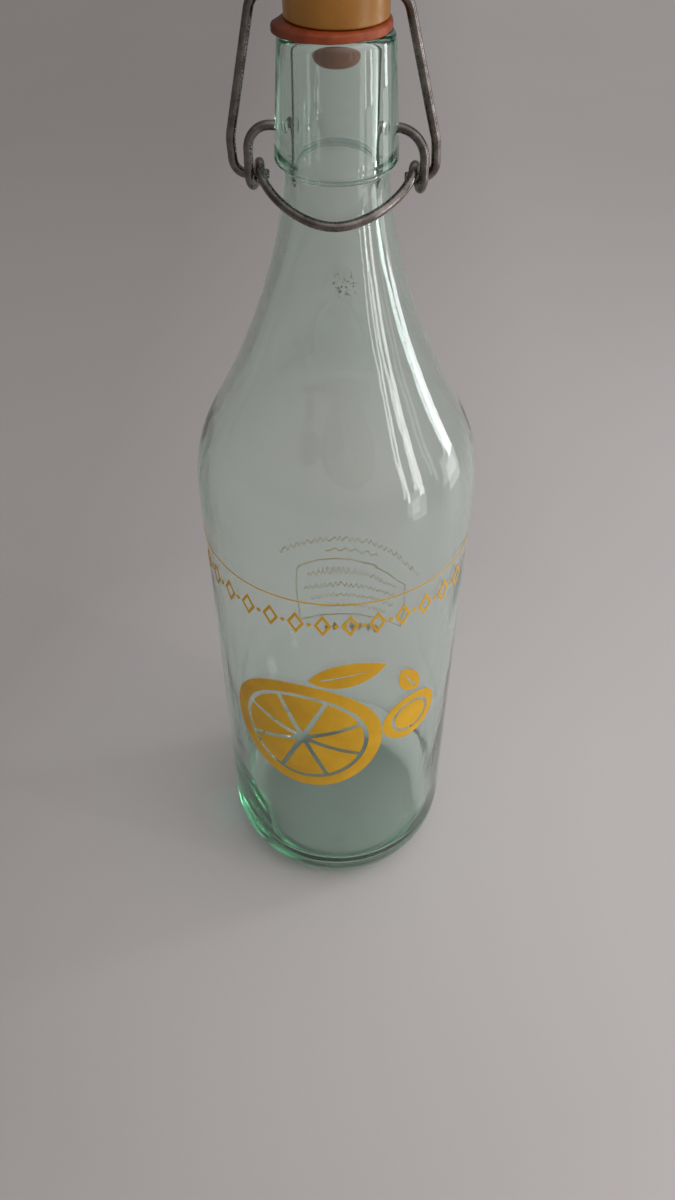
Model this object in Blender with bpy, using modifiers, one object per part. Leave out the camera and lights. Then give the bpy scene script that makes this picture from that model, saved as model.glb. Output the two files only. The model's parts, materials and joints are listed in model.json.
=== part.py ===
"""Soft drink bottle of one litre with a lever-wire stopper, modelled shut.

Metres, +Z up. The origin is on the table, under the middle of the bottle. -Y is the front, where the
handle of the lever hangs, and +X is to the right. Everything is symmetric about the plane X = 0.
"""
import math

import bmesh
import bpy
import numpy as np
from mathutils import Matrix, Vector

# Glass bottle: heights are from the table, and the rim is the flat ring that the gasket is pressed on
BODY_RADIUS = 0.0423
WALL = 0.0027
SHOULDER_HEIGHT = 0.1780
SHOULDER_SWELL = 0.0004
SWELL_HEIGHT = 0.0060
SWELL_RAMP = 0.0140
SHOULDER_RISE = 0.0255
SHOULDER_INSET = 0.0065
SHOULDER_SLOPE_DEG = 29.5
NECK_SWEEP = 0.0681
HEEL_HEIGHT = 0.0180
HEEL_INSET = 0.0068
BEARING_WIDTH = 0.0022
PUSH_UP = 0.0050
BASE_THICKNESS = 0.0085
INNER_HEEL_RADIUS = 0.0110
BORE_RADIUS = 0.0101
NECK_WALL = 0.0029
COLLAR_WALL = 0.0049
LIP_WALL = 0.0033
COLLAR_HEIGHT = 0.0290
COLLAR_EDGE_ROUND = 0.0019
NECK_LAND = 0.0018
LIP_ROUND = 0.0022
MOUTH_CHAMFER = 0.0006

# The shoulder and the neck are two cubic curves that meet at one slope. The shoulder's pulls are shares of
# its rise. The sweep's first pull is a share of the way to the neck's radius along that slope, and its last
# one of its height.
SHOULDER_PULL_SHARES = (0.34, 0.40)
SWEEP_PULL_SHARES = (0.92, 0.06)
# The heel is a cubic curve too. Its pulls are shares of the heel's inset and height.
HEEL_START_SHARES = (0.47, 0.21)
HEEL_END_SHARE = 0.39

# Sockets for the lever's ends, one in each side of the collar, at a set depth below the rim
PIVOT_DROP = 0.0209
SOCKET_DEPTH_SHARE = 0.62
TURNING_PLAY = 0.0003

# Both wires
WIRE_DIAMETER = 0.0023
SEAT_GAP = 0.0003

# Lever wire
CRANK = 0.0118
OVER_CENTRE_DEG = 5.0
EYE_PLAY = 0.0003
EYE_TO_COLLAR = 0.00235
ARM_BEND = 0.0053
HANDLE_DROP = 0.0181
HANDLE_SIDE_SHARE = 0.38
HANDLE_TIP_SHARE = 0.47

# Bail wire
BAIL_TO_EYE = 0.0006
HOOK_BEND = 0.0035
HOOK_TO_COLLAR = 0.0015
LEG_STRAIGHT = 0.0105
LEG_BEND = 0.0150
CROSSBAR_TO_STOPPER = 0.0053
TOP_BEND = 0.0050

# Stopper and gasket
STOPPER_INSET = 0.0016
STOPPER_HEIGHT = 0.0114
STOPPER_EDGE_ROUND = 0.0026
STOPPER_CROWN = 0.0006
STOPPER_FOOT_ROUND = 0.0004
CROSS_HOLE_RISE = 0.0046
GASKET_INSET = 0.0002
GASKET_THICKNESS = 0.0020
GASKET_ROUND = 0.0006
STEM_RADIUS = 0.0043
NOSE_TO_BORE = 0.0045
NOSE_DEPTH = 0.0075
NOSE_TIP_ROUND = 0.0020
NOSE_EDGE_ROUND = 0.0005

# Fineness of the faces, in steps
BOTTLE_STEPS = 48
STOPPER_STEPS = 40
SHOULDER_STEPS = 8
SWEEP_STEPS = 12
HEEL_STEPS = 6
ROUND_STEPS = 4
SMALL_ROUND_STEPS = 3
EYE_STEPS = 20
BEND_STEPS = 5
HANDLE_STEPS = 10
CUTTER_STEPS = 20
WIRE_STEPS = 2

CUT_OVERRUN = 0.0010
MERGE_DISTANCE = 0.00002
SHARP_ANGLE_DEG = 35.0

# Colours as linear red, green and blue
GLASS_COLOUR = (0.58, 0.70, 0.62)
STEEL_COLOUR = (0.36, 0.33, 0.31)
PLASTIC_COLOUR = (0.72, 0.45, 0.09)
RUBBER_COLOUR = (0.55, 0.14, 0.04)

# Sizes that follow from those above
WIRE_RADIUS = WIRE_DIAMETER / 2
BEARING_RADIUS = BODY_RADIUS - HEEL_INSET
SWELL_RADIUS = BODY_RADIUS + SHOULDER_SWELL
NECK_RADIUS = BORE_RADIUS + NECK_WALL
COLLAR_RADIUS = BORE_RADIUS + COLLAR_WALL
LIP_RADIUS = BORE_RADIUS + LIP_WALL
NECK_FOOT = SHOULDER_HEIGHT + SHOULDER_RISE
NECK_TOP = NECK_FOOT + NECK_SWEEP
COLLAR_FOOT = NECK_TOP + NECK_LAND
RIM_HEIGHT = COLLAR_FOOT + COLLAR_HEIGHT
STOPPER_RADIUS = LIP_RADIUS - STOPPER_INSET
GASKET_RADIUS = LIP_RADIUS - GASKET_INSET
GASKET_FOOT = RIM_HEIGHT + SEAT_GAP
STOPPER_FOOT = GASKET_FOOT + GASKET_THICKNESS + SEAT_GAP
NOSE_RADIUS = BORE_RADIUS - NOSE_TO_BORE
HANDLE_X = COLLAR_RADIUS + EYE_TO_COLLAR + WIRE_RADIUS
ARM_X = HANDLE_X + WIRE_DIAMETER + SEAT_GAP
BAIL_X = ARM_X + WIRE_DIAMETER + BAIL_TO_EYE
EYE_RADIUS = WIRE_DIAMETER + EYE_PLAY

# The three hinge lines, all along X: lever in collar, bail in lever, stopper on bail
PIVOT = Vector((0, 0, RIM_HEIGHT - PIVOT_DROP))
OVER_CENTRE = math.radians(OVER_CENTRE_DEG)
EYE = PIVOT + CRANK * Vector((0, math.sin(OVER_CENTRE), -math.cos(OVER_CENTRE)))
CROSSBAR = Vector((0, 0, STOPPER_FOOT + CROSS_HOLE_RISE))


def clear_scene():
    for thing in list(bpy.data.objects):
        bpy.data.objects.remove(thing, do_unlink=True)


def new_collection(name):
    collection = bpy.data.collections.new(name)
    bpy.context.scene.collection.children.link(collection)
    return collection


def new_material(name, colour, roughness, metallic=0.0, transmission=0.0):
    material = bpy.data.materials.new(name)
    material.use_nodes = True
    shader = material.node_tree.nodes["Principled BSDF"]
    shader.inputs["Base Color"].default_value = (*colour, 1.0)
    shader.inputs["Roughness"].default_value = roughness
    shader.inputs["Metallic"].default_value = metallic
    shader.inputs["Transmission Weight"].default_value = transmission
    return material


def cubic(start, start_pull, end_pull, end, steps):
    """Points along a cubic curve, both ends included."""
    points = []
    for step in range(steps + 1):
        t = step / steps
        s = 1 - t
        weights = (s**3, 3 * s * s * t, 3 * s * t * t, t**3)
        corners = (start, start_pull, end_pull, end)
        points.append(tuple(sum(w * c[i] for w, c in zip(weights, corners)) for i in range(len(start))))
    return points


def arc(centre, radii, first_deg, last_deg, steps=ROUND_STEPS):
    """Points (radius, height) on an ellipse's arc, both ends included."""
    points = []
    for angle in np.radians(np.linspace(first_deg, last_deg, steps + 1)):
        points.append((centre[0] + radii[0] * math.cos(angle), centre[1] + radii[1] * math.sin(angle)))
    return points


def without_repeats(points):
    """The same outline, with each point that repeats the one before it left out."""
    kept = [points[0]]
    for point in points[1:]:
        if math.dist(point, kept[-1]) > MERGE_DISTANCE:
            kept.append(point)
    return kept


def rounded_wire_path(corners, bends):
    """A path through corners given as vectors, with an arc of the given radius at each inner corner."""
    path = [corners[0]]
    for before, corner, after, bend in zip(corners, corners[1:], corners[2:], bends):
        into = (corner - before).normalized()
        out = (after - corner).normalized()
        half_turn = into.angle(out) / 2
        if half_turn * bend < MERGE_DISTANCE:
            path.append(corner)
            continue
        setback = bend * math.tan(half_turn)
        inward = (out - into).normalized()
        centre = corner + inward * (bend / math.cos(half_turn))
        start = corner - into * setback - centre
        axis = into.cross(out).normalized()
        for step in range(BEND_STEPS + 1):
            turn = Matrix.Rotation(2 * half_turn * step / BEND_STEPS, 3, axis)
            path.append(centre + turn @ start)
    path.append(corners[-1])
    return path


def mirrored_path(half):
    """A whole path from the half that ends in the plane X = 0, which keeps that end once."""
    other = [Vector((-point.x, point.y, point.z)) for point in reversed(half[:-1])]
    return half + other


def turned(name, outline, steps, origin, collection, material):
    """A body turned about Z from its outline of (radius, height above the table), outer side downwards."""
    outline = without_repeats(outline)
    mesh = bpy.data.meshes.new(name)
    vertices = [(radius, 0, height - origin.z) for radius, height in outline]
    mesh.from_pydata(vertices, [(i, i + 1) for i in range(len(vertices) - 1)], [])
    body = bpy.data.objects.new(name, mesh)
    body.location = origin
    collection.objects.link(body)
    body.data.materials.append(material)
    screw = body.modifiers.new("Turn", "SCREW")
    screw.axis = "Z"
    screw.steps = steps
    screw.render_steps = steps
    screw.use_merge_vertices = True
    screw.merge_threshold = MERGE_DISTANCE
    screw.use_smooth_shade = True
    return body


def wire(name, path, origin, collection, material):
    """A round wire of WIRE_DIAMETER along the path, with flat ends."""
    curve = bpy.data.curves.new(name, "CURVE")
    curve.dimensions = "3D"
    curve.bevel_depth = WIRE_RADIUS
    curve.bevel_resolution = WIRE_STEPS
    curve.use_fill_caps = True
    spline = curve.splines.new("POLY")
    spline.points.add(len(path) - 1)
    for spline_point, place in zip(spline.points, path):
        spline_point.co = (*(place - origin), 1)
    body = bpy.data.objects.new(name, curve)
    body.location = origin
    collection.objects.link(body)
    curve.materials.append(material)
    return body


def cross_cutter(name, centre, length, radius, collection):
    """A cylinder along X that cuts a hole."""
    shape = bmesh.new()
    radii = {"radius1": radius, "radius2": radius}
    bmesh.ops.create_cone(shape, cap_ends=True, segments=CUTTER_STEPS, depth=length, **radii)
    mesh = bpy.data.meshes.new(name)
    shape.to_mesh(mesh)
    shape.free()
    cutter = bpy.data.objects.new(name, mesh)
    cutter.location = centre
    cutter.rotation_euler = (0, math.radians(90), 0)
    cutter.hide_render = True
    cutter.display_type = "WIRE"
    collection.objects.link(cutter)
    return cutter


def cut(body, cutter):
    boolean = body.modifiers.new("Cut", "BOOLEAN")
    boolean.operation = "DIFFERENCE"
    boolean.solver = "EXACT"
    boolean.object = cutter


def neck_curve(low_radius, high_radius):
    """Shoulder and neck, from the top of the straight side up to the foot of the collar."""
    slope = math.radians(SHOULDER_SLOPE_DEG)
    turn = (low_radius - SHOULDER_INSET, NECK_FOOT)
    first_pull = (low_radius, SHOULDER_HEIGHT + SHOULDER_PULL_SHARES[0] * SHOULDER_RISE)
    turn_pull = SHOULDER_PULL_SHARES[1] * SHOULDER_RISE
    into_turn = (turn[0] + turn_pull * math.sin(slope), turn[1] - turn_pull * math.cos(slope))
    shoulder = cubic((low_radius, SHOULDER_HEIGHT), first_pull, into_turn, turn, SHOULDER_STEPS)
    way_in = SWEEP_PULL_SHARES[0] * (turn[0] - high_radius)
    out_of_turn = (turn[0] - way_in, turn[1] + way_in / math.tan(slope))
    last_pull = (high_radius, NECK_TOP - SWEEP_PULL_SHARES[1] * NECK_SWEEP)
    sweep = cubic(turn, out_of_turn, last_pull, (high_radius, NECK_TOP), SWEEP_STEPS)
    return shoulder + sweep[1:]


def neck_radius_at(height):
    """The neck's outer radius at a height between shoulder and collar."""
    radii, heights = zip(*neck_curve(SWELL_RADIUS, NECK_RADIUS))
    return float(np.interp(height, heights, radii))


def collar_radius_at(height):
    """The collar's outer radius at a height on its taper."""
    heights = (COLLAR_FOOT + COLLAR_EDGE_ROUND, RIM_HEIGHT - LIP_ROUND)
    return float(np.interp(height, heights, (COLLAR_RADIUS, LIP_RADIUS)))


def heel_curve(low, high):
    """The heel from its foot (radius, height) up to the straight side at high."""
    reach = high[0] - low[0]
    rise = high[1] - low[1]
    start_pull = (low[0] + HEEL_START_SHARES[0] * reach, low[1] + HEEL_START_SHARES[1] * rise)
    end_pull = (high[0], high[1] - HEEL_END_SHARE * rise)
    return cubic(low, start_pull, end_pull, high, HEEL_STEPS)


def bottle_outline():
    """The glass's section, from the middle of its floor up the inside, over the rim and down the outside."""
    floor_edge = BODY_RADIUS - WALL - INNER_HEEL_RADIUS
    inside = arc((0, BASE_THICKNESS), (floor_edge, PUSH_UP), 90, 0)
    heel_centre = (floor_edge, BASE_THICKNESS + INNER_HEEL_RADIUS)
    inside += arc(heel_centre, (INNER_HEEL_RADIUS,) * 2, -90, 0, HEEL_STEPS)
    inside += neck_curve(SWELL_RADIUS - WALL, BORE_RADIUS)
    inside += [(BORE_RADIUS, RIM_HEIGHT - MOUTH_CHAMFER), (BORE_RADIUS + MOUTH_CHAMFER, RIM_HEIGHT)]
    lip_centre = (LIP_RADIUS - LIP_ROUND, RIM_HEIGHT - LIP_ROUND)
    edge_centre = (COLLAR_RADIUS - COLLAR_EDGE_ROUND, COLLAR_FOOT + COLLAR_EDGE_ROUND)
    outside = arc(lip_centre, (LIP_ROUND,) * 2, 90, 0)
    outside += arc(edge_centre, (COLLAR_EDGE_ROUND,) * 2, 0, -90)
    outside += neck_curve(SWELL_RADIUS, NECK_RADIUS)[::-1]
    swell_foot = SHOULDER_HEIGHT - SWELL_HEIGHT
    outside += [(SWELL_RADIUS, swell_foot), (BODY_RADIUS, swell_foot - SWELL_RAMP)]
    outside += heel_curve((BEARING_RADIUS, 0), (BODY_RADIUS, HEEL_HEIGHT))[::-1]
    hollow_radius = BEARING_RADIUS - BEARING_WIDTH
    outside += arc((0, 0), (hollow_radius, PUSH_UP), 0, 90, HEEL_STEPS)
    return inside + outside


def glass_bottle(collection, cutters, material):
    body = turned("glass_bottle", bottle_outline(), BOTTLE_STEPS, Vector((0, 0, 0)), collection, material)
    surface = collar_radius_at(PIVOT.z)
    depth = SOCKET_DEPTH_SHARE * (surface - BORE_RADIUS)
    length = depth + CUT_OVERRUN
    for side, name in ((-1, "left_socket_cutter"), (1, "right_socket_cutter")):
        centre = PIVOT + Vector((side * (surface - depth + length / 2), 0, 0))
        cut(body, cross_cutter(name, centre, length, WIRE_RADIUS + TURNING_PLAY, cutters))
    return body


def lever_wire(collection, material):
    """The lever: socket end, arm down to the eye, one coil round the bail's hook, and half of the handle."""
    surface = collar_radius_at(PIVOT.z)
    end_x = surface - SOCKET_DEPTH_SHARE * (surface - BORE_RADIUS) + SEAT_GAP
    tip_height = PIVOT.z - HANDLE_DROP
    tip_reach = neck_radius_at(tip_height) + WIRE_RADIUS + SEAT_GAP

    # In the eye's own plane, forward is towards -Y and down is towards -Z
    pivot_from_eye = (EYE.y - PIVOT.y, EYE.z - PIVOT.z)
    tip_from_eye = (EYE.y + tip_reach, EYE.z - tip_height)
    first = math.atan2(pivot_from_eye[1], pivot_from_eye[0])
    first += math.acos(EYE_RADIUS / math.hypot(*pivot_from_eye))
    last = 2 * math.pi + math.atan2(tip_from_eye[1], tip_from_eye[0])
    last -= math.acos(EYE_RADIUS / math.hypot(*tip_from_eye))

    coil = []
    for step in range(EYE_STEPS + 1):
        share = step / EYE_STEPS
        angle = first + share * (last - first)
        x = -ARM_X + share * (ARM_X - HANDLE_X)
        forward = EYE_RADIUS * math.cos(angle)
        down = EYE_RADIUS * math.sin(angle)
        coil.append(Vector((x, EYE.y - forward, EYE.z - down)))

    arm = rounded_wire_path([Vector((-end_x, 0, PIVOT.z)), Vector((-ARM_X, 0, PIVOT.z)), coil[0]], [ARM_BEND])
    leaving = coil[-1]
    tip = Vector((0, -tip_reach, tip_height))
    along = tip - Vector((0, leaving.y, leaving.z))
    side_pull = leaving + HANDLE_SIDE_SHARE * along
    tip_pull = tip - Vector((HANDLE_TIP_SHARE * HANDLE_X, 0, 0))
    handle = [Vector(point) for point in cubic(leaving, side_pull, tip_pull, tip, HANDLE_STEPS)]
    path = mirrored_path(arm[:-1] + coil + handle[1:])
    return wire("lever_wire", path, PIVOT, collection, material)


def bail_wire(collection, material):
    """The bail: hook through the eye, leg up past the collar, and half of the crossbar."""
    up = (CROSSBAR - EYE).normalized()
    reach = (CROSSBAR - EYE).length
    sideways = Vector((-1, 0, 0))
    hook_end = EYE + sideways * (COLLAR_RADIUS + HOOK_TO_COLLAR)
    hook_corner = EYE + sideways * BAIL_X
    knee = hook_corner + up * LEG_STRAIGHT
    shoulder = EYE + up * reach + sideways * (STOPPER_RADIUS + CROSSBAR_TO_STOPPER)
    corners = [hook_end, hook_corner, knee, shoulder, CROSSBAR]
    half = rounded_wire_path(corners, [HOOK_BEND, LEG_BEND, TOP_BEND])
    return wire("bail_wire", mirrored_path(half), EYE, collection, material)


def stopper(collection, cutters, material):
    """The plastic stopper: domed head, stem through the gasket, and the nose that holds the gasket on."""
    top = STOPPER_FOOT + STOPPER_HEIGHT
    rounding = STOPPER_EDGE_ROUND
    nose_top = GASKET_FOOT - SEAT_GAP
    nose_foot = RIM_HEIGHT - NOSE_DEPTH
    tip_radius = NOSE_RADIUS - NOSE_TIP_ROUND
    outline = [(0, top + STOPPER_CROWN)]
    outline += arc((STOPPER_RADIUS - rounding, top - rounding), (rounding,) * 2, 90, 0)
    foot_centre = (STOPPER_RADIUS - STOPPER_FOOT_ROUND, STOPPER_FOOT + STOPPER_FOOT_ROUND)
    outline += arc(foot_centre, (STOPPER_FOOT_ROUND,) * 2, 0, -90, SMALL_ROUND_STEPS)
    outline += [(STEM_RADIUS, STOPPER_FOOT), (STEM_RADIUS, nose_top)]
    edge_centre = (NOSE_RADIUS - NOSE_EDGE_ROUND, nose_top - NOSE_EDGE_ROUND)
    outline += arc(edge_centre, (NOSE_EDGE_ROUND,) * 2, 90, 0, SMALL_ROUND_STEPS)
    outline += arc((tip_radius, nose_foot + NOSE_TIP_ROUND), (NOSE_TIP_ROUND,) * 2, 0, -90)
    outline += [(0, nose_foot)]
    body = turned("stopper", outline, STOPPER_STEPS, CROSSBAR, collection, material)
    length = 2 * (STOPPER_RADIUS + CUT_OVERRUN)
    cut(body, cross_cutter("cross_hole_cutter", CROSSBAR, length, WIRE_RADIUS + TURNING_PLAY, cutters))
    return body


def gasket(collection, material):
    """The rubber ring between the stopper's head and the rim."""
    hole = STEM_RADIUS + TURNING_PLAY
    top = GASKET_FOOT + GASKET_THICKNESS
    rounding = (GASKET_ROUND,) * 2
    outline = [(hole, GASKET_FOOT), (hole, top)]
    edge = GASKET_RADIUS - GASKET_ROUND
    outline += arc((edge, top - GASKET_ROUND), rounding, 90, 0, SMALL_ROUND_STEPS)
    outline += arc((edge, GASKET_FOOT + GASKET_ROUND), rounding, 0, -90, SMALL_ROUND_STEPS)
    outline += [(hole, GASKET_FOOT)]
    return turned("gasket", outline, STOPPER_STEPS, CROSSBAR, collection, material)


def build():
    clear_scene()
    parts = new_collection("lever_stoppered_bottle")
    cutters = new_collection("cutters")
    glass = new_material("pale_green_glass", GLASS_COLOUR, 0.03, transmission=1.0)
    steel = new_material("drawn_steel_wire", STEEL_COLOUR, 0.32, metallic=1.0)
    plastic = new_material("yellow_plastic", PLASTIC_COLOUR, 0.35)
    rubber = new_material("orange_rubber", RUBBER_COLOUR, 0.55)

    bottle = glass_bottle(parts, cutters, glass)
    lever = lever_wire(parts, steel)
    bail = bail_wire(parts, steel)
    head = stopper(parts, cutters, plastic)
    ring = gasket(parts, rubber)

    for child, parent in ((lever, bottle), (bail, lever), (head, bail), (ring, head)):
        child.location = child.location - parent.matrix_world.translation
        child.parent = parent
        bpy.context.view_layer.update()
    for body in (bottle, head, ring):
        body.data.set_sharp_from_angle(angle=math.radians(SHARP_ANGLE_DEG))


build()
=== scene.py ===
"""The looks of a lever-stoppered glass bottle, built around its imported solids.

Metres, in the frame of the part: the origin is on the table under the bottle, -Y is the front and +Z is up.
Angles round the bottle start at the front and go towards +X.
"""

import json
import math

import bmesh
import bpy
import numpy as np
from mathutils import Matrix, Vector, geometry, noise


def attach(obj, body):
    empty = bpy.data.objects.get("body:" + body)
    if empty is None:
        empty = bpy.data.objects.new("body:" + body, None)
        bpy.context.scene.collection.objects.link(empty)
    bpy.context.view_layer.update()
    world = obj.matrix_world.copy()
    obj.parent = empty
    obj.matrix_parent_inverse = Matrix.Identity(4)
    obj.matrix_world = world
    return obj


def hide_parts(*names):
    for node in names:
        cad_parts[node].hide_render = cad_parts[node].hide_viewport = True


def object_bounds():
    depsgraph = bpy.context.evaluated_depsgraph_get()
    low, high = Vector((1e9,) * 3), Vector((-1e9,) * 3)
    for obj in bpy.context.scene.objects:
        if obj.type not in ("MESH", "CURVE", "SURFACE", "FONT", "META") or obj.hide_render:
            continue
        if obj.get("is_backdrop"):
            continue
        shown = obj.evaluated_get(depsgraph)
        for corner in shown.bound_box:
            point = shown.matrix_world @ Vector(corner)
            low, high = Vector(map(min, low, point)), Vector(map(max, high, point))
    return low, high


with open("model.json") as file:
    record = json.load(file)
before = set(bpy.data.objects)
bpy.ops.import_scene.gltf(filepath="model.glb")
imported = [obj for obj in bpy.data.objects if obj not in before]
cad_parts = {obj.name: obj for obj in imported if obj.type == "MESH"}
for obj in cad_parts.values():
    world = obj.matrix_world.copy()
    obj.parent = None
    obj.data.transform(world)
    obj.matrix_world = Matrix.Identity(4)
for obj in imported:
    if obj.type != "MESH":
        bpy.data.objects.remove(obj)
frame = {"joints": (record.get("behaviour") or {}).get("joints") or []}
CAD_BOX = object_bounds()

# Axes of the three hinges
HINGES = {joint["name"]: Vector(joint["pos_m"]) for joint in frame["joints"]}
PIVOT = HINGES["lever_hinge"]
EYE = HINGES["bail_hinge"]
CROSSBAR = HINGES["stopper_hinge"]

# Outside of the glass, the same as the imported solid's but for the collar's foot and the mould seam
BODY_RADIUS = 0.0423
HEEL_HEIGHT = 0.0180
BEARING_RADIUS = 0.0355
BEARING_WIDTH = 0.0022
PUSH_UP = 0.0050
SHOULDER_HEIGHT = 0.1780
SHOULDER_SWELL = 0.0004
SWELL_HEIGHT = 0.0060
SWELL_RAMP = 0.0140
SWELL_RADIUS = BODY_RADIUS + SHOULDER_SWELL
SWELL_FOOT = SHOULDER_HEIGHT - SWELL_HEIGHT
SWELL_RAMP_FOOT = SWELL_FOOT - SWELL_RAMP
SHOULDER_RISE = 0.0255
SHOULDER_INSET = 0.0065
SHOULDER_SLOPE = math.radians(29.5)
NECK_FOOT = SHOULDER_HEIGHT + SHOULDER_RISE
NECK_SWEEP = 0.0681
NECK_TOP = NECK_FOOT + NECK_SWEEP
NECK_RADIUS = 0.0130
NECK_LAND = 0.0018
COLLAR_FOOT = NECK_TOP + NECK_LAND
COLLAR_HEIGHT = 0.0290
COLLAR_RADIUS = 0.0150
COLLAR_EDGE_ROUND = 0.0019
RIM_HEIGHT = COLLAR_FOOT + COLLAR_HEIGHT
LIP_RADIUS = 0.0134
LIP_ROUND = 0.0022
LIP_ROUND_START = LIP_RADIUS - LIP_ROUND
MOUTH_CHAMFER = 0.0006
SEAM_HEIGHT = 0.00009
SEAM_HALF_WIDTH = 0.0004

# Pulls of the cubic curves of heel, shoulder and neck, as shares of what each curve spans
HEEL_START_SHARES = (0.47, 0.21)
HEEL_END_SHARE = 0.39
SHOULDER_PULL_SHARES = (0.34, 0.40)
SWEEP_PULL_SHARES = (0.92, 0.06)

# The collar's edge turns this far under, and then runs into the neck with a small curve
COLLAR_TURN_DEG = 50
COLLAR_OUT_PULL = (0.00065, 0.00055)
COLLAR_IN_PULL = 0.0003
COLLAR_RUN_OUT = 0.0015

# Inside of the glass, with a thinner wall and base than the solid's and a narrower bore
WALL = 0.0023
BASE_THICKNESS = 0.0058
BORE_RADIUS = 0.0096
INNER_FLOOR_RADIUS = 0.0315
INNER_HEEL_HEIGHT = 0.0155
INNER_HEEL_LIFT = 0.0002
INNER_HEEL_SHARE = 0.68

# One side of the foot is thicker, fully so below one height and not at all above another
THICK_SIDE = math.radians(285)
THICK_SPREAD = 0.70
THICK_FULL = 0.022
THICK_TOP = 0.055
THICK_EXTRA = 0.0024
THICK_FLOOR_RADIUS = 0.03

# The inner wall wanders, less in the neck and towards the middle of the floor
WANDER = 0.00032
WANDER_MEAN = 0.3
WANDER_SCALE = 1.3
WANDER_PITCH = 0.045
WANDER_FADE_TOP = 0.262
WANDER_FADE = 0.05
WANDER_IN_NECK = 0.30
WANDER_FLOOR_RADIUS = 0.02

# Sockets in the collar, and both wires
SOCKET_RADIUS = 0.00145
SOCKET_FLOOR = 0.0119
SOCKET_CUT = 0.006
WIRE_RADIUS = 0.00115
WIRE_STEP = 0.00045
WIRE_END_INSET = 0.14
WIRE_END_SHARE = 0.72
WIRE_NEAR_END_SHARE = 0.92

# Lever: the right arm is bent a little more roundly than the left one
LEVER_END_GAP = 0.0003
ARM_X = 0.0211
LEFT_ARM_BEND = 0.0053
RIGHT_ARM_BEND = 0.0072
EYE_RADIUS = 0.0026
HANDLE_X = 0.0185
HANDLE_SIDE_SHARE = 0.38
HANDLE_TIP_SHARE = 0.47
TIP = Vector((0, -0.01505, 0.2641))

# Bail: pushed to the left as it sits in use, with its right leg bent in
HOOK_END_X = 0.0165
KNEE_RISE = 0.0085
BAIL_BENDS = (0.0035, 0.0120, 0.0050)

# Distances of the bail's hook, knee and shoulder from the middle
LEFT_LEG = (0.0250, 0.0254, 0.0184)
RIGHT_LEG = (0.0240, 0.0236, 0.0152)

# Stopper: the crown is given by radius and rise over the top of the edge
STOPPER_RADIUS = 0.0118
STOPPER_FOOT = 0.3045
STOPPER_TOP = 0.3164
STOPPER_CROWN = ((0, 0.0006), (0.0040, 0.0005), (0.0075, 0.0002))
STOPPER_EDGE_ROUND = 0.0026
STOPPER_EDGE_DEG = 86
STOPPER_SIDE_DROP = 0.0030
STOPPER_SIDE_RISE = 0.0006
STOPPER_TAPER = 0.00012
STOPPER_FOOT_ROUND = 0.0005
STOPPER_FOOT_INSET = 0.0001
CROSS_HOLE_LENGTH = 0.03
STEM_RADIUS = 0.0043
NOSE_RADIUS = 0.0056
NOSE_EDGE_ROUND = 0.0005
NOSE_TIP = 0.2949
NOSE_TIP_ROUND = 0.0020

# Gasket: pushed to the left, with a blunt lump there, and drooping over the lip, most of all at its sides
GASKET_FOOT = 0.3026
GASKET_THICKNESS = 0.00175
GASKET_INNER_RADIUS = 0.0046
GASKET_RADIUS = 0.01315
GASKET_CORNER = 0.0004
GASKET_ROWS = (0.0090, LIP_ROUND_START, 0.0120)
GASKET_PUSH = 0.0007
WAVE_SCALE = 2.6
WAVE_LEVEL = 0.7
WAVE_OUT = 0.00030
WAVE_UP = 0.00010
RIPPLE_SCALE = 9.0
RIPPLE_LEVEL = 3.1
RIPPLE_OUT = 0.00010
RIPPLE_UP = 0.00005
LUMP_SIDE = math.radians(278)
LUMP_SPREAD = 0.28
LUMP_REACH = 0.00045
LUMP_SWELL = 0.00030
DROOP_SHARE = 0.5
SIDE_DROOP_SHARE = 0.4
DROOP_LIMIT = 0.0010

# Enamel: drawn in millimetres, and cut into strips so that it bends round the glass
MM_PER_M = 1000
ENAMEL_THICKNESS = 0.00008
ENAMEL_LIFT = 0.00003
STRIP_WIDTH = 2.0
STRIPS_EACH_SIDE = 33

# Fineness of the faces, in steps
ROUND_STEPS = 160
STOPPER_ROUND_STEPS = 96
SOCKET_STEPS = 48
CROSS_HOLE_STEPS = 32
WALL_STEPS = 40
SIDE_STEPS = 12
BORE_STEPS = 8
HEEL_STEPS = 20
SHOULDER_STEPS = 14
SWEEP_STEPS = 30
COLLAR_STEPS = 8
DOME_STEPS = 14
STOPPER_EDGE_STEPS = 12
STOPPER_SIDE_STEPS = 6
STOPPER_FOOT_STEPS = 5
NOSE_EDGE_STEPS = 4
NOSE_TIP_STEPS = 10
GASKET_CORNER_STEPS = 5
WIRE_SIDES = 20
COIL_STEPS = 60
BEND_STEPS = 16
HANDLE_STEPS = 40

SAME_POINT = 0.00002
ON_AXIS = 0.000001
SHARP_DEG = 40
WIRE_SHARP_DEG = 60


def clamped(value, low=0.0):
    """The value, kept between low and 1."""
    return min(1.0, max(low, value))


def cubic(start, start_pull, end_pull, end, steps):
    """Points along a cubic curve, both ends included."""
    corners = (start, start_pull, end_pull, end)
    points = []
    for step in range(steps + 1):
        t = step / steps
        s = 1 - t
        weights = (s**3, 3 * s * s * t, 3 * s * t * t, t**3)
        points.append(tuple(sum(w * c[i] for w, c in zip(weights, corners)) for i in range(len(start))))
    return points


def arc(centre, radius, first_deg, last_deg, steps):
    """Points (radius, height) on a circle's arc, both ends included."""
    angles = np.radians(np.linspace(first_deg, last_deg, steps + 1))
    return [(centre[0] + radius * math.cos(a), centre[1] + radius * math.sin(a)) for a in angles]


def straight(start, end, steps):
    """Points on a straight line, both ends included."""
    return [tuple(a + (b - a) * step / steps for a, b in zip(start, end)) for step in range(steps + 1)]


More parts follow.
